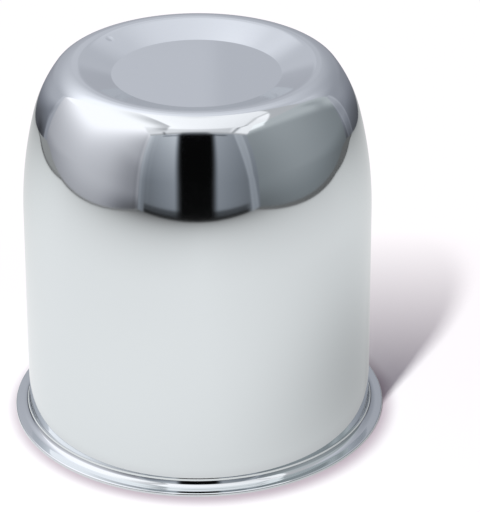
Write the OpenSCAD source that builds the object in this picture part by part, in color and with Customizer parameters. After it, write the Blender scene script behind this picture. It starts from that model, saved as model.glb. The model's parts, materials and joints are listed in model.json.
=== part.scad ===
// Push-through center cap for a wheel hub: one closed cup drawn from a single round of sheet.
// The cup stands on the underside of its flange, with its axis on Z. All lengths are in millimetres.

/* [Body] */
// Diameter of the upright land that sits in the wheel's bore
land_d = 107.5; // [96:0.5:130]
// Height of that land above the root bend
land_h = 8; // [4:0.5:15]
// Overall height, from the flange's underside to the crest
cap_h = 116; // [100:0.5:150]
// Draft of the wall above the land, in degrees
wall_draft = 0.5; // [0.3:0.1:2]
// Thickness of the sheet
sheet_t = 1; // [0.6:0.05:1.15]

/* [Shoulder] */
// Outside radius of the gentle bend that ends the wall
shoulder_r = 128; // [80:1:180]
// Angle turned by that bend, in degrees
shoulder_turn = 13.9; // [8:0.1:18]
// Outside radius of the brow, between the shoulder and the crest
brow_r = 41.5; // [20:0.5:60]
// Angle turned by the brow, in degrees
brow_turn = 21; // [10:0.5:30]
// Outside radius of the crest, which rolls over into the dish
crest_r = 7.2; // [4:0.1:12]

/* [Dish] */
// Slope of the dish's cone, in degrees
dish_slope = 19.2; // [8:0.2:26]
// Diameter of the flat disc at the bottom of the dish
disc_d = 50.9; // [30:0.1:64]
// Radius of the crease between the cone and the disc
crease_r = 0.4; // [0.2:0.1:2]

/* [Flange] */
// Reach of the flange beyond the land
flange_w = 4.55; // [3.4:0.05:8]
// Radius of the bend between the land and the flange
root_r = 2.4; // [0.4:0.1:2.8]
// Rounding of the cut edge on the flange's upper side
edge_round = 0.5; // [0.2:0.05:0.6]
// Rounding of the cut edge on the flange's underside
foot_round = 0.2; // [0.1:0.05:0.25]

/* [Hidden] */
$fn = 180;
// Widest gap between the true arc of a bend and the chords that it is drawn with
chord_gap = 0.01;

// Slope of the outer face where one bend passes into the next, from the crest down
crest_turn = 90 - wall_draft - shoulder_turn - brow_turn;
brow_lean = 90 - crest_turn;
shoulder_lean = brow_lean - brow_turn;

// Height and reach of a bend whose outer face leans from one angle to another off the upright
function bend_rise(radius, from, to) = radius * (sin(to) - sin(from));
function bend_reach(radius, from, to) = radius * (cos(from) - cos(to));

// The two roundings leave a strip of the cut edge straight, also on thin sheet
upper_round = min(edge_round, 0.6 * sheet_t);
under_round = min(foot_round, 0.25 * sheet_t);

// The flange lies flat, and its straight run takes the reach that the roundings leave
flange_len = flange_w - root_r - upper_round;
land_z = sheet_t + root_r;

// The straight wall takes the height that the land and the bends leave
wall_rise = cap_h - land_z - land_h
    - bend_rise(shoulder_r, 0, wall_draft)
    - bend_rise(shoulder_r, wall_draft, shoulder_lean)
    - bend_rise(brow_r, shoulder_lean, brow_lean)
    - bend_rise(crest_r, brow_lean, 90);
wall_len = wall_rise / cos(wall_draft);

// Radius of the circle along which the crest is highest
crest_circle_r = land_d / 2
    - bend_reach(shoulder_r, 0, wall_draft)
    - wall_len * sin(wall_draft)
    - bend_reach(shoulder_r, wall_draft, shoulder_lean)
    - bend_reach(brow_r, shoulder_lean, brow_lean)
    - bend_reach(crest_r, brow_lean, 90);

// The cone runs from the crest to the crease, which rounds the corner at the disc's rim
crease_cut = crease_r * tan(dish_slope / 2);
disc_len = disc_d / 2 - crease_cut;
cone_reach = crest_circle_r - crest_r * sin(dish_slope) - disc_d / 2;
cone_len = cone_reach / cos(dish_slope) - crease_cut;
disc_z = cap_h - crest_r * (1 - cos(dish_slope)) - cone_reach * tan(dish_slope);

// The sheet from the axis out. Each row is a straight run, then the radius of the outer face in
// the bend that follows, and the angle of that bend: up if positive, down if negative.
PRESSING = [
    [disc_len, crease_r, dish_slope],           // disc and the crease round it
    [cone_len, crest_r, -dish_slope],           // cone, levelling out on the crest
    [0, crest_r, -crest_turn],                  // crest, rolling over into the brow
    [0, brow_r, -brow_turn],                    // brow
    [0, shoulder_r, -shoulder_turn],            // shoulder
    [wall_len, shoulder_r, -wall_draft],        // wall, ending upright
    [land_h, root_r, 90]                        // land and the root of the flange
];

function last(points) = points[len(points) - 1];
function reverse(points) = [for (i = [len(points) - 1:-1:0]) points[i]];

// Place reached from another along a straight run at a heading
function ahead(place, heading, run) = place + run * [cos(heading), sin(heading)];

// Points of a bend that leaves a place at a heading, up to its end but without that first place
function bend(place, heading, radius, turn) =
    let (
        chord_turn = 2 * acos(1 - min(chord_gap / radius, 1)),
        chords = ceil(abs(turn) / chord_turn),
        arm = sign(turn) * radius
    )
    [for (i = [1:chords])
        let (now = heading + turn * i / chords)
        place + arm * [sin(now) - sin(heading), cos(heading) - cos(now)]];

// Points of one face of the sheet after a place on it, at a depth under the outer face, up to the
// end of the flange's straight run
function face(depth, flange_run, place, heading = 0, row = 0) =
    row == len(PRESSING) ? [ahead(place, heading, flange_run)] :
    let (
        run = PRESSING[row][0],
        turn = PRESSING[row][2],
        start = ahead(place, heading, run),
        bent = bend(start, heading, PRESSING[row][1] + sign(turn) * depth, turn)
    )
    concat(
        run > 0 ? [start] : [],
        bent,
        face(depth, flange_run, last(bent), heading + turn, row + 1)
    );

// Section of the sheet: its outer face from the axis to the flange, the cut edge with its two
// rounded corners, and its inner face back to the axis
module sheet_section() {
    outer_middle = [0, disc_z];
    inner_middle = [0, disc_z - sheet_t];
    outer = concat([outer_middle], face(0, flange_len, outer_middle));
    inner = concat([inner_middle],
        face(sheet_t, flange_len + upper_round - under_round, inner_middle));
    polygon(concat(
        outer,
        bend(last(outer), 0, upper_round, -90),
        reverse(bend(last(inner), 0, under_round, 90)),
        reverse(inner)
    ));
}

// The cap: the sheet's section turned about the axis
module cap_shell() {
    color([0.8, 0.82, 0.84])
        rotate_extrude()
            sheet_section();
}

cap_shell();
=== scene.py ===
import json
import math

import bpy
import numpy as np
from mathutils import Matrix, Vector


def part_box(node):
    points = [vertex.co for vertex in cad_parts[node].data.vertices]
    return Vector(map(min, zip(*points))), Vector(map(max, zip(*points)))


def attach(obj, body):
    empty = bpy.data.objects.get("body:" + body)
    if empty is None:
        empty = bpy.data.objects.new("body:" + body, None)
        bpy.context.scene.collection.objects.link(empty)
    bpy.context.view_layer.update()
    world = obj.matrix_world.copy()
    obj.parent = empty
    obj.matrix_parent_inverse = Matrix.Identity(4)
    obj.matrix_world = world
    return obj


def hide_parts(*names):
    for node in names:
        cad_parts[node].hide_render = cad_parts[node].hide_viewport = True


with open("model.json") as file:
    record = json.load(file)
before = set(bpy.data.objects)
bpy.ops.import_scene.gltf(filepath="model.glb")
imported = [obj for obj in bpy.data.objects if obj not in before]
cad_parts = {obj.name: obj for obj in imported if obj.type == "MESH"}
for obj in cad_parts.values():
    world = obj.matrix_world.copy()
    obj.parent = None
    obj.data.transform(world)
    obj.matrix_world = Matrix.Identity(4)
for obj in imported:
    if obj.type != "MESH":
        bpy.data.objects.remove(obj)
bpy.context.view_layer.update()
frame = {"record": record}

MM = 0.001

# Sizes that the frame gives: the cap's height and its rim, and the land outside and inside
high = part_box("cap_shell")[1]
cap_h = high[2]
rim_r = high[0]
mounts = {mount["name"]: mount for mount in frame["record"]["mounts"]}
land_r = mounts["bore_land"]["dims"]["r_mm"] * MM
land_h = mounts["bore_land"]["dims"]["length_mm"] * MM
sheet_t = land_r - mounts["cup_bore"]["dims"]["r_mm"] * MM

# The pressing's other sizes, in metres and degrees
wall_draft = 0.5
shoulder_r = 128 * MM
shoulder_turn = 13.9
brow_r = 41.5 * MM
brow_turn = 21
crest_r = 7.2 * MM
dish_slope = 19.2
disc_r = 25.45 * MM
crease_r = 0.4 * MM
root_r = 2.4 * MM
edge_round = 0.5 * MM
foot_round = 0.2 * MM
flange_len = rim_r - land_r - root_r - edge_round

# How finely the sheet is drawn: facets round the axis, then the widest gap between points on a
# straight run and the degrees that a chord of a bend turns, on the outer and on the inner face
AROUND = 240
OUTER_PITCH = 2 * MM
OUTER_CHORD = 1
INNER_PITCH = 5 * MM
INNER_CHORD = 4
# Degrees that a chord turns in the two roundings of the cut edge
EDGE_CHORD = 4
FOOT_CHORD = 15


# The angles of the pressing, the lamp and the camera are in degrees


def sin(degrees):
    return math.sin(math.radians(degrees))


def cos(degrees):
    return math.cos(math.radians(degrees))


def tan(degrees):
    return math.tan(math.radians(degrees))


def put(name, data):
    """Object at the origin that holds a mesh, a lamp or a camera."""
    made = bpy.data.objects.new(name, data)
    bpy.context.collection.objects.link(made)
    return made


def pressing_rows():
    """Height of the disc, and the sheet from the axis out: rows of a straight run, a bend's outer
    radius and the angle that it turns. The wall and the cone take what the bends leave."""
    crest_turn = 90 - wall_draft - shoulder_turn - brow_turn
    leans = np.radians([0, wall_draft, wall_draft + shoulder_turn, 90 - crest_turn, 90])
    radii = np.array([shoulder_r, shoulder_r, brow_r, crest_r])
    rise = (radii * np.diff(np.sin(leans))).sum()
    reach = -(radii * np.diff(np.cos(leans))).sum()
    wall_len = (cap_h - sheet_t - root_r - land_h - rise) / cos(wall_draft)
    crest_circle_r = land_r - reach - wall_len * sin(wall_draft)
    cone_reach = crest_circle_r - crest_r * sin(dish_slope) - disc_r
    crease_cut = crease_r * tan(dish_slope / 2)
    disc_z = cap_h - crest_r * (1 - cos(dish_slope)) - cone_reach * tan(dish_slope)
    return disc_z, [
        (disc_r - crease_cut, crease_r, dish_slope),
        (cone_reach / cos(dish_slope) - crease_cut, crest_r, -dish_slope),
        (0, crest_r, -crest_turn),
        (0, brow_r, -brow_turn),
        (0, shoulder_r, -shoulder_turn),
        (wall_len, shoulder_r, -wall_draft),
        (land_h, root_r, 90),
    ]


def straight(place, heading, run, pitch):
    """Points place + s (cos h, sin h), with s = run (1 - cos(pi k / n)) / 2 for k = 1 to n, so that
    they close up towards both ends, where a straight run passes into a bend."""
    count = max(3, math.ceil(run / pitch))
    along = run * (1 - np.cos(np.pi * np.arange(1, count + 1) / count)) / 2
    return place + along[:, None] * np.array([cos(heading), sin(heading)])


def bend(place, heading, radius, turn, chord):
    """Points of an arc: place + r (sin(h + t) - sin h, cos h - cos(h + t)), for t up to the turn
    and with r below 0 where the turn is."""
    count = max(4, math.ceil(abs(turn) / chord))
    now = np.radians(heading + turn * np.arange(1, count + 1) / count)
    arm = math.copysign(radius, turn)
    return place + arm * np.stack([np.sin(now) - sin(heading), cos(heading) - np.cos(now)], 1)


def sheet_face(depth, middle_z, rows, flange_run, pitch, chord):
    """Points (r, z) of one face of the sheet at a depth under the outer one, from the axis out:
    a bend upwards has its radius plus the depth there, and a bend downwards its radius less it."""
    points = [np.array([[0, middle_z - depth]])]
    heading = 0
    for run, outer_r, turn in rows:
        if run > 0:
            points.append(straight(points[-1][-1], heading, run, pitch))
        radius = outer_r + math.copysign(depth, turn)
        points.append(bend(points[-1][-1], heading, radius, turn, chord))
        heading += turn
    points.append(straight(points[-1][-1], heading, flange_run, pitch))
    return np.concatenate(points)


def cap_section():
    """Outline of the sheet, and which of its points are on the inner face: the outer face out to
    the flange, the cut edge with its two rounded corners, and the inner face back to the axis."""
    disc_z, rows = pressing_rows()
    outer = sheet_face(0, disc_z, rows, flange_len, OUTER_PITCH, OUTER_CHORD)
    inner = sheet_face(sheet_t, disc_z, rows, flange_len + edge_round - foot_round,
                       INNER_PITCH, INNER_CHORD)
    edge = np.concatenate([bend(outer[-1], 0, edge_round, -90, EDGE_CHORD),
                           bend(inner[-1], 0, foot_round, 90, FOOT_CHORD)[::-1]])
    outline = np.concatenate([outer, edge, inner[::-1]])
    is_inner = np.arange(len(outline)) >= len(outer) + len(edge)
    return outline, is_inner


def revolve(name, outline, around):
    """Turns an outline (r, z), whose ends lie on the axis, about Z: (r cos a, r sin a, z), with a
    fan of triangles round each of the two poles. The outline keeps the solid on its right."""
    angle = 2 * np.pi * np.arange(around) / around
    r, z = outline[1:-1].T
    ring = np.stack([np.outer(r, np.cos(angle)), np.outer(r, np.sin(angle)),
                     np.repeat(z[:, None], around, 1)], 2)
    poles = [[0, 0, outline[0, 1]], [0, 0, outline[-1, 1]]]
    points = np.concatenate([ring.reshape(-1, 3), poles])
    index = np.arange(len(r) * around).reshape(len(r), around)
    after = np.roll(index, -1, 1)
    quads = np.stack([index[:-1], index[1:], after[1:], after[:-1]], 2).reshape(-1, 4)
    first_pole = np.full(around, len(r) * around)
    fans = np.concatenate([np.stack([first_pole, index[0], after[0]], 1),
                           np.stack([first_pole + 1, after[-1], index[-1]], 1)])
    mesh = bpy.data.meshes.new(name)
    mesh.from_pydata(points.tolist(), [], quads.tolist() + fans.tolist())
    mesh.shade_smooth()
    return mesh


def grid_mesh(name, points):
    """Sheet of quads over a grid of points (rows, columns, 3)."""
    rows, columns = points.shape[:2]
    index = np.arange(rows * columns).reshape(rows, columns)
    quads = np.stack([index[:-1, :-1], index[:-1, 1:], index[1:, 1:], index[1:, :-1]], 2)
    mesh = bpy.data.meshes.new(name)
    mesh.from_pydata(points.reshape(-1, 3).tolist(), [], quads.reshape(-1, 4).tolist())
    return mesh


class Signal:
    """A shader socket with arithmetic: each operator adds the Math node that works it out."""

    def __init__(self, tree, socket):
        self.tree = tree
        self.socket = socket

    def maths(self, operation, *values):
        return self.tree.node("ShaderNodeMath", {"operation": operation}, dict(enumerate(values)))

    def __add__(self, other):
        return self.maths("ADD", self, other)

    __radd__ = __add__

    def __sub__(self, other):
        return self.maths("SUBTRACT", self, other)

    def __rsub__(self, other):
        return self.maths("SUBTRACT", other, self)

    def __mul__(self, other):
        return self.maths("MULTIPLY", self, other)

    __rmul__ = __mul__

    def ramp(self, start, end, shape="SMOOTHSTEP"):
        """0 below start, 1 above end and a ramp between them."""
        settings = {"interpolation_type": shape}
        return self.tree.node("ShaderNodeMapRange", settings, {0: self, 1: start, 2: end})


class Tree:
    """The node tree of a material or of the world."""

    def __init__(self, owner):
        owner.use_nodes = True
        self.nodes = owner.node_tree.nodes
        self.links = owner.node_tree.links
        self.nodes.clear()

    def node(self, kind, settings=None, inputs=None, output=0):
        """Adds a node, sets its settings, then feeds its sockets with values or other signals."""
        made = self.nodes.new(kind)
        for name, value in (settings or {}).items():
            setattr(made, name, value)
        for name, value in (inputs or {}).items():
            if isinstance(value, Signal):
                self.links.new(value.socket, made.inputs[name])
            else:
                made.inputs[name].default_value = value
        return Signal(self, made.outputs[output])

    def surface(self, shader, kind="ShaderNodeOutputMaterial"):
        """Feeds the tree's output node, of a given kind, with a shader."""
        self.links.new(shader.socket, self.nodes.new(kind).inputs["Surface"])

    def attribute(self, name, output):
        """What the mesh's points carry under a name."""
        return self.node("ShaderNodeAttribute", {"attribute_name": name}, output=output)

    def distance(self, place, centre):
        """How far a place is from a fixed point."""
        return self.node("ShaderNodeVectorMath", {"operation": "DISTANCE"},
                         {0: place, 1: centre}, output="Value")

    def blended(self, start, end, share):
        """Colour that passes from one to another as a share goes from 0 to 1."""
        return self.node("ShaderNodeMix", {"data_type": "RGBA"},
                         {"Factor": share, "A": (*start, 1), "B": (*end, 1)}, output=2)

    def dimmed(self, colour, share):
        """A colour times a share."""
        return self.node("ShaderNodeVectorMath", {"operation": "SCALE"},
                         {0: colour, "Scale": share})


# Colour of the plating, and of the duller plating inside the cup
PLATE = (0.79, 0.825, 0.835)
INNER_PLATE = (0.6, 0.6, 0.59)
# The small dent in the dish: its place, its radius and how deep it is
DENT = (-26.4 * MM, 20.3 * MM, 115.1 * MM)
DENT_R = 1.6 * MM
DENT_DEPTH = 0.12 * MM


def chrome_plate():
    """Bright chrome plating with a faint haze and a small dent in the dish, duller inside."""
    material = bpy.data.materials.new("chrome_plate")
    tree = Tree(material)
    place = tree.node("ShaderNodeTexCoord", output="Object")
    haze = tree.node("ShaderNodeTexNoise", None, {"Vector": place, "Scale": 45, "Detail": 4})
    dent = tree.node("ShaderNodeBump", None, {
        "Height": tree.distance(place, DENT).ramp(0, DENT_R),
        "Distance": DENT_DEPTH,
        "Strength": 1,
    })
    inner = tree.attribute("inner", "Fac")
    tree.surface(tree.node("ShaderNodeBsdfPrincipled", None, {
        "Base Color": tree.blended(PLATE, INNER_PLATE, inner),
        "Metallic": 1,
        "Roughness": 0.045 + 0.02 * haze + 0.25 * inner,
        "Normal": dent,
    }))
    return material


def make_cap():
    """The cap, one sheet all round. Its points carry the attribute inner, 1 on the inner face."""
    outline, is_inner = cap_section()
    mesh = revolve("cap", outline, AROUND)
    inner = np.concatenate([np.repeat(is_inner[1:-1], AROUND), is_inner[[0, -1]]]).astype(float)
    mesh.attributes.new("inner", "FLOAT", "POINT").data.foreach_set("value", inner)
    mesh.materials.append(chrome_plate())
    cap = put("cap", mesh)
    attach(cap, "root")
    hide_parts("cap_shell")


# Where the walls of the light tent stand and its top hangs, in metres, and the gap between the
# points that carry the light of the tent and its floor
TENT = {"left": -0.52, "right": 0.56, "front": -0.68, "back": 0.29, "top": 0.72}
TENT_PITCH = 4 * MM


def rising(edge, width, value):
    """Smooth step from 0 to 1 across an edge: 3 t^2 - 2 t^3, with t from 0 to 1 in its width."""
    t = np.clip((value - edge) / width + 0.5, 0, 1)
    return t * t * (3 - 2 * t)


def falling(edge, width, value):
    """Smooth step from 1 to 0 across an edge."""
    return rising(-edge, width, -value)


def within(start, end, width, value):
    """1 between two edges, with a smooth step of a given width across each."""
    return rising(start, width, value) * falling(end, width, value)


def ridge(centre, width, value):
    """Bell curve exp(-t^2), with t the distance from its centre in widths."""
    return np.exp(-(((value - centre) / width) ** 2))


def below(edge, value):
    """How far a value lies below an edge, or 0 above it."""
    return np.clip(edge - value, 0, None)


def mixed(under, over, share):
    """One tone laid over another, in a share from 0 to 1."""
    return under + (over - under) * share


# Each panel's function gives its tones, from 0 to 255 as the plating mirrors them, from the two
# coordinates of its points in metres


def left_panel(y, z):
    """White above a fold that sinks towards the back, and grey under it: the white falls off with
    the square of the depth below the fold. A dim foot, and the piping of the front corner."""
    behind = -0.09 - y
    fold = 0.315 + 0.45 * (behind + np.hypot(behind, 0.07))
    softness = 0.13 - 0.035 * rising(-0.15, 0.5, y)
    low_tone = 140 + 45 * ridge(-0.12, 0.42, y) - 35 * below(0.35, z)
    tone = mixed(low_tone, 255, 1 / (1 + (below(fold, z) / softness) ** 2))
    tone = tone - 16 * falling(-0.4, 0.3, y) * falling(0.3, 0.2, z)
    tone = tone - (20 + 28 * falling(-0.35, 0.3, y)) * falling(0.03, 0.08, z)
    return tone + 15 * ridge(-0.66, 0.018, y) - 5 * ridge(-0.615, 0.02, y)


def right_panel(y, z):
    """Darker below a fold that rises to the front, with a dim streak above it at the back, and the
    lower corner of a white window, between that fold and a line that falls to the front."""
    fold = 0.355 - 0.55 * y
    low_tone = 92 + 22 * rising(0.05, 0.12, z) + 28 * z + 22 * ridge(-0.18, 0.34, y)
    high_tone = 173 - 19 * ridge(0.17, 0.06, y) * falling(0.55, 0.25, z)
    window = rising(fold + 0.04, 0.03, z) * rising(0.932 + 0.92 * y, 0.06, z)
    return mixed(mixed(low_tone, high_tone, rising(fold, 0.06, z)), 246, window)


def front_panel(x, z):
    """Two grey cloths and a black slit between them, piping on the left cloth, a strip with pale
    lines at the right corner, a dark foot and the seam under the top."""
    left = 99 + 102 * z + 115 * np.abs(x + 0.395)
    left = left + 13 * ridge(-0.505, 0.018, x) - 6 * ridge(-0.44, 0.012, x)
    right = 111 + 43 * z - 90 * (x - 0.32)
    right = mixed(right, 108 + 45 * z, rising(0.44, 0.04, x))
    strip_left = 0.39 + 0.065 * (below(0.68, z) / 0.68) ** 1.5
    strip_right = 0.503 + 0.035 * falling(0.1, 0.2, z)
    lines = ridge(strip_left + 0.02, 0.01, x) + 0.6 * ridge(strip_right - 0.02, 0.01, x)
    strip = within(strip_left, strip_right, 0.025, x)
    tone = np.where(x < 0, left, mixed(right, 132 + 40 * z + 6 * lines, strip))
    foot = falling(0.034, 0.01, z) * rising(-0.45, 0.03, x) * falling(0.42, 0.08, x)
    tone = mixed(tone, 64 - 52 * falling(0.013, 0.01, z), foot)
    tone = tone - 90 * ridge(0.694, 0.008, z) * rising(-0.35, 0.03, x) * falling(0.3, 0.05, x)
    slit = within(-0.138 - 0.062 * z, 0.12 + 0.06 * z, 0.075, x)
    return mixed(tone, 6 + 70 * rising(0.7, 0.05, z), slit)


def back_panel(x, z):
    """White at the top left, fading downwards and to the right. Low down: a grey corner on either
    side, the piping of the left one, a band in the right one, and between them a pale patch, which
    the disc of the dish mirrors, with a dim streak above it."""
    high_tone = 254 - 68 * rising(0.08, 0.42, x) + 9 * ridge(0.4, 0.05, x) * rising(0.45, 0.1, z)
    tone = mixed(168 - 24 * rising(0.1, 0.3, x), high_tone, rising(0.33, 0.42, z))
    tone = tone - 34 * falling(0.06, 0.16, z)
    shade = 124 - 550 * below(0.09, z) - 20 * ridge(-0.33, 0.06, x) * falling(0.03, 0.04, z)
    tone = mixed(tone, shade, falling(0.42 * (np.abs(x) - 0.12), 0.06, z))
    piping = -0.432 - 0.4 * np.clip(z - 0.08, 0, 0.2)
    corner_tone = 134 + 190 * z + 320 * np.clip(z - 0.16, 0, 0.2)
    tone = mixed(tone, corner_tone, falling(piping - 0.012, 0.012, x) * falling(0.25, 0.1, z))
    tone = tone + 18 * ridge(piping, 0.008, x) * falling(0.3, 0.2, z)
    climb = np.clip(z, 0, 0.3)
    band_left = 0.378 + 0.055 * (climb / 0.15) ** 2
    band_right = 0.492 + 0.35 * climb
    band = within(band_left, band_right, 0.015, x) * falling(0.25, 0.1, z)
    edges = ridge(band_left + 0.01, 0.01, x) + ridge(band_right - 0.01, 0.01, x)
    tone = tone + (14 + 10 * edges) * band
    patch = within(0.21, 0.31, 0.04, z) * falling(0.06, 0.03, np.abs(x))
    tone = mixed(tone, 188 - 8 * rising(0.008, 0.01, x), patch)
    return tone - 20 * rising(0.38, 0.08, z) * ridge(-0.04, 0.13, x)


def top_panel(x, y):
    """White that dims to the right. A seam on the left, soft on its outer side, that ends in a
    dark knot; on the right a white window between a thin line and an edge, beyond which it is
    grey; a dark front edge."""
    tone = 245 - 42 * x - 12 * ridge(0, 0.06, x) * rising(0.15, 0.1, y)
    tone = mixed(tone, 254, falling(-0.16, 0.1, x))
    seam_x = -0.19 - 0.4 * below(-0.35, y)
    seam = 66 * falling(0.1, 0.6, y) * rising(-0.6, 0.08, y)
    tone = tone - seam * ridge(0, 0.115, below(seam_x, x)) * falling(seam_x, 0.025, x)
    line_x = 0.318 + 0.3 * below(-0.06, y) - 0.65 * below(-0.46, y)
    tone = mixed(tone, 236 + 14 * rising(-0.1, 0.5, y), rising(line_x, 0.02, x))
    tone = tone - (40 + 50 * falling(-0.45, 0.2, y)) * ridge(line_x, 0.018, x)
    tone = tone - 34 * falling(-0.53, 0.15, y) * falling(0.34, 0.05, x)
    tone = mixed(tone, 176, rising(0.395 - 0.68 * y, 0.02, x))
    front_edge = 160 - 60 * within(-0.16, 0.12, 0.06, x)
    tone = mixed(tone, front_edge, falling(-0.655, 0.04, y))
    knot = ridge(-0.645, 0.014, y) + ridge(-0.672, 0.008, y)
    return tone - 110 * knot * ridge(-0.338, 0.014, x)


def linear(tone):
    """Light that a tone from 0 to 255 on the screen stands for."""
    share = np.asarray(tone, float) / 255
    return np.where(share <= 0.04045, share / 12.92, ((share + 0.055) / 1.055) ** 2.4)


def panel_light(grey, tint):
    """Light that the plating mirrors as a grey tone plus a tint, which lessens in tones under 120.
    The brightest tone is a little past white."""
    tone = grey[..., None] + np.array(tint) * np.clip(grey[..., None] / 120, 0, 1)
    return linear(np.clip(tone, 2, 262)) / PLATE


def tent_cloth():
    """Cloth that glows as its points say."""
    material = bpy.data.materials.new("tent_cloth")
    tree = Tree(material)
    glow = tree.attribute("glow", "Color")
    tree.surface(tree.node("ShaderNodeEmission", None, {"Color": glow, "Strength": 1}))
    return material


def hang_panel(name, cloth, corner, along, up, tones, tint):
    """Grid corner + u along + v up, whose sides run along the frame's own axes. Its points carry
    the light of tones(a, b), with a and b their coordinates along the two sides."""
    corner, along, up = (np.array(v, float) for v in (corner, along, up))
    width, height = np.linalg.norm(along), np.linalg.norm(up)
    u, v = np.meshgrid(np.linspace(0, 1, int(width / TENT_PITCH)),
                       np.linspace(0, 1, int(height / TENT_PITCH)))
    points = corner + u[..., None] * along + v[..., None] * up
    light = panel_light(tones(points @ along / width, points @ up / height), tint)
    opaque = np.ones_like(light[..., :1])
    mesh = grid_mesh(name, points)
    glow = mesh.color_attributes.new("glow", "FLOAT_COLOR", "POINT")
    glow.data.foreach_set("color", np.concatenate([light, opaque], 2).ravel())
    mesh.materials.append(cloth)
    panel = put(name, mesh)
    panel.visible_camera = False
    panel.visible_diffuse = False
    panel.visible_shadow = False


def hang_tent():
    """Four walls and a top, each with its tones and its tint in red, green and blue."""
    x0, x1, y0, y1, top = (TENT[side] for side in ("left", "right", "front", "back", "top"))
    wide, deep, tall = (x1 - x0, 0, 0), (0, y1 - y0, 0), (0, 0, top)
    cloth = tent_cloth()
    hang_panel("tent_left", cloth, (x0, y0, 0), deep, tall, left_panel, (-4.5, -1.4, 6))
    hang_panel("tent_right", cloth, (x1, y0, 0), deep, tall, right_panel, (-6.5, 1.2, 6))
    hang_panel("tent_front", cloth, (x0, y0, 0), wide, tall, front_panel, (-7.5, -0.5, 8))
    hang_panel("tent_back", cloth, (x0, y1, 0), wide, tall, back_panel, (-6.5, -1.5, 8))
    hang_panel("tent_top", cloth, (x0, y0, top), wide, deep, top_panel, (-4.3, -0.4, 4.7))


# How far the floor reaches to each side, in metres
FLOOR_REACH = 6
# Pale cloth of the floor, and the painted contact shadow, a mauve shade, close to the flange: the
# middle of that painted shadow, and how far beyond the rim it starts and ends to fade
FLOOR = (0.92, 0.92, 0.92)
CONTACT_SHADOW = (0.5, 0.44, 0.48)
CONTACT_SHADOW_MIDDLE = (0.8 * MM, -2 * MM, 0)
CONTACT_SHADOW_START = -2 * MM
CONTACT_SHADOW_END = 5 * MM
# Plain white light of the floor, as the plating and as the camera see it
WHITE_TO_PLATE = (1, 1.012, 1.02)
WHITE_TO_CAMERA = (1.04, 1, 1.03)
# What the plating sees of the floor: most of its light, and only a little of the lit cloth
SEEN_BY_PLATE = 0.9
CLOTH_BY_PLATE = 0.15
# How far behind the axis the cloth starts to pass into that plain light, and where it ends
FADE_START = 8.6 * MM
FADE_END = 115.5 * MM


def floor_share(x, y):
    """Share of its light that the floor gives to the plating: it fades towards the tent's four
    sides, most of all to the front left, with a painted shadow of the cap as a dim patch beside it.
    Beyond the folds at the walls' feet it is as grey as they are, with a thin uneven shadow in each
    fold."""
    front = 1 - 0.64 * (below(-0.05, y) / 0.63) ** 2
    left = 1 - 0.42 * (below(-0.12, x + 0.6 * y) / 0.55) ** 1.5
    back = 1 - (below(0, -y) / 0.4) ** 2
    right = 1 - 0.65 * below(-0.01, -x)
    # Painted shadow of the cap: a dim patch on the floor beside it, as the plating sees it
    patch = 1 - 0.42 * ridge(0, 0.075, np.hypot(x - 0.07, y))
    share = front * back * left * right * patch
    past_left_corner = 0.6 * (y - 0.28) - 0.8 * (x + 0.32)
    past_right_corner = 0.39 * (y - 0.28) + 0.92 * (x - 0.41)
    past_sides = np.abs(x + 0.02) - 0.475 - 0.04 * (x > 0)
    past = np.maximum(np.maximum(past_left_corner, past_right_corner), past_sides)
    past = past + 0.004 * np.sin(310 * x + 190 * y) * np.sin(170 * x - 260 * y)
    wall = np.where(x < 0, 0.34, 0.15)
    return mixed(share, wall, rising(0, 0.008, past)) * (1 - 0.85 * ridge(0.003, 0.008, past))


def floor_cloth():
    """Pale cloth with a painted mauve contact shadow right round the flange, that passes behind the
    cap into a painted glow of plain white light, so that the shadow fades away from it. The plating
    sees mostly that plain light, in the share that the floor's points carry."""
    material = bpy.data.materials.new("floor_cloth")
    tree = Tree(material)
    place = tree.node("ShaderNodeTexCoord", output="Object")
    depth = tree.node("ShaderNodeSeparateXYZ", None, {0: place}, output="Y")
    # Painted contact shadow: the cloth turns a mauve grey close round the flange
    reach = tree.distance(place, CONTACT_SHADOW_MIDDLE)
    cloth = tree.blended(CONTACT_SHADOW, FLOOR, reach.ramp(rim_r + CONTACT_SHADOW_START, rim_r + CONTACT_SHADOW_END))
    camera = tree.node("ShaderNodeLightPath", output="Is Camera Ray")
    white = tree.blended(WHITE_TO_PLATE, WHITE_TO_CAMERA, camera)
    seen = camera + (1 - camera) * SEEN_BY_PLATE * tree.attribute("share", "Fac")
    lit = tree.node("ShaderNodeBsdfDiffuse", None, {"Color": tree.dimmed(cloth, seen)})
    plain = tree.node("ShaderNodeEmission", None,
                      {"Color": tree.dimmed(white, seen), "Strength": 1})
    cloth_share = CLOTH_BY_PLATE + (1 - CLOTH_BY_PLATE) * camera
    kept = (1 - depth.ramp(FADE_START, FADE_END, "LINEAR")) * cloth_share
    tree.surface(tree.node("ShaderNodeMixShader", None, {0: kept, 1: plain, 2: lit}))
    return material


def lay_floor():
    """Floor far beyond the tent: a grid with narrow columns and rows inside the tent only."""
    x, y = (np.concatenate([[-FLOOR_REACH],
                            np.linspace(start, end, int((end - start) / TENT_PITCH)),
                            [FLOOR_REACH]])
            for start, end in ((TENT["left"], TENT["right"]), (TENT["front"], TENT["back"])))
    x, y = np.meshgrid(x, y)
    mesh = grid_mesh("floor", np.stack([x, y, np.zeros_like(x)], 2))
    share = np.clip(floor_share(x, y), 0, 1)
    mesh.attributes.new("share", "FLOAT", "POINT").data.foreach_set("value", share.ravel())
    mesh.materials.append(floor_cloth())
    put("floor", mesh)


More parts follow.
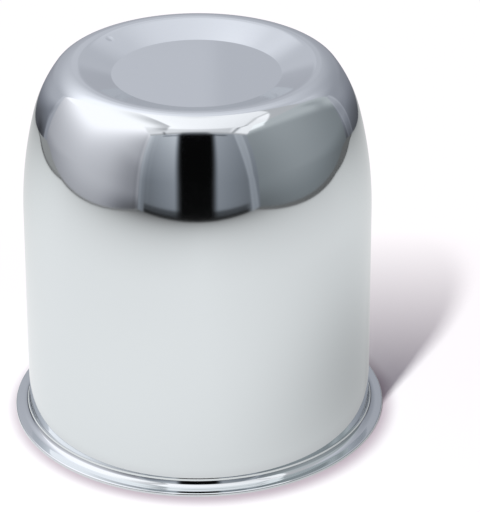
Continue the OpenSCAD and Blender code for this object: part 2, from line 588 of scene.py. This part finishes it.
# Light on the floor, as shares of white: from all round, and from the strip lamp
FILL = 0.3
KEY = 0.82
# The strip lamp, seen from the cap: metres away, degrees to the side and degrees up, and its size
LAMP_AWAY = 3
LAMP_TURN = -26
LAMP_LIFT = 48
LAMP_WIDTH = 0.18
LAMP_HEIGHT = 0.3


def light_world():
    """White to the camera, and an even mauve fill on everything else."""
    world = bpy.data.worlds.new("studio")
    bpy.context.scene.world = world
    tree = Tree(world)
    camera = tree.node("ShaderNodeLightPath", output="Is Camera Ray")
    colour = tree.blended((FILL, 0.87 * FILL, 1.02 * FILL), (1, 1, 1), camera)
    tree.surface(tree.node("ShaderNodeBackground", None, {"Color": colour, "Strength": 1}),
                 "ShaderNodeOutputWorld")


def hang_lamp():
    """A small strip at the front left that keeps the shadow's edge crisp, and that the plating
    doesn't mirror. A lamp of power P, at a distance d and e degrees up, lights a white floor with
    P sin e / (pi d)^2 of white."""
    lamp = bpy.data.lights.new("strip_lamp", "AREA")
    lamp.shape = "RECTANGLE"
    lamp.size = LAMP_WIDTH
    lamp.size_y = LAMP_HEIGHT
    lamp.energy = KEY * (math.pi * LAMP_AWAY) ** 2 / sin(LAMP_LIFT)
    strip = put("strip_lamp", lamp)
    strip.location = (LAMP_AWAY * cos(LAMP_LIFT) * sin(LAMP_TURN),
                      -LAMP_AWAY * cos(LAMP_LIFT) * cos(LAMP_TURN),
                      LAMP_AWAY * sin(LAMP_LIFT))
    strip.rotation_euler = (math.radians(90 - LAMP_LIFT), 0, math.radians(LAMP_TURN))
    strip.visible_glossy = False


def set_camera():
    """The photograph's view: lens in millimetres of a 36 mm long side, place in metres."""
    data = bpy.data.cameras.new("camera")
    data.sensor_width = 36
    data.lens = 172.28
    camera = put("camera", data)
    camera.location = (0, -0.67383, 0.40064)
    camera.rotation_euler = (math.radians(62.5514), 0, math.radians(-1.1022))
    bpy.context.scene.camera = camera


make_cap()
hang_tent()
lay_floor()
light_world()
hang_lamp()
set_camera()
bpy.context.scene.view_settings.view_transform = "Standard"
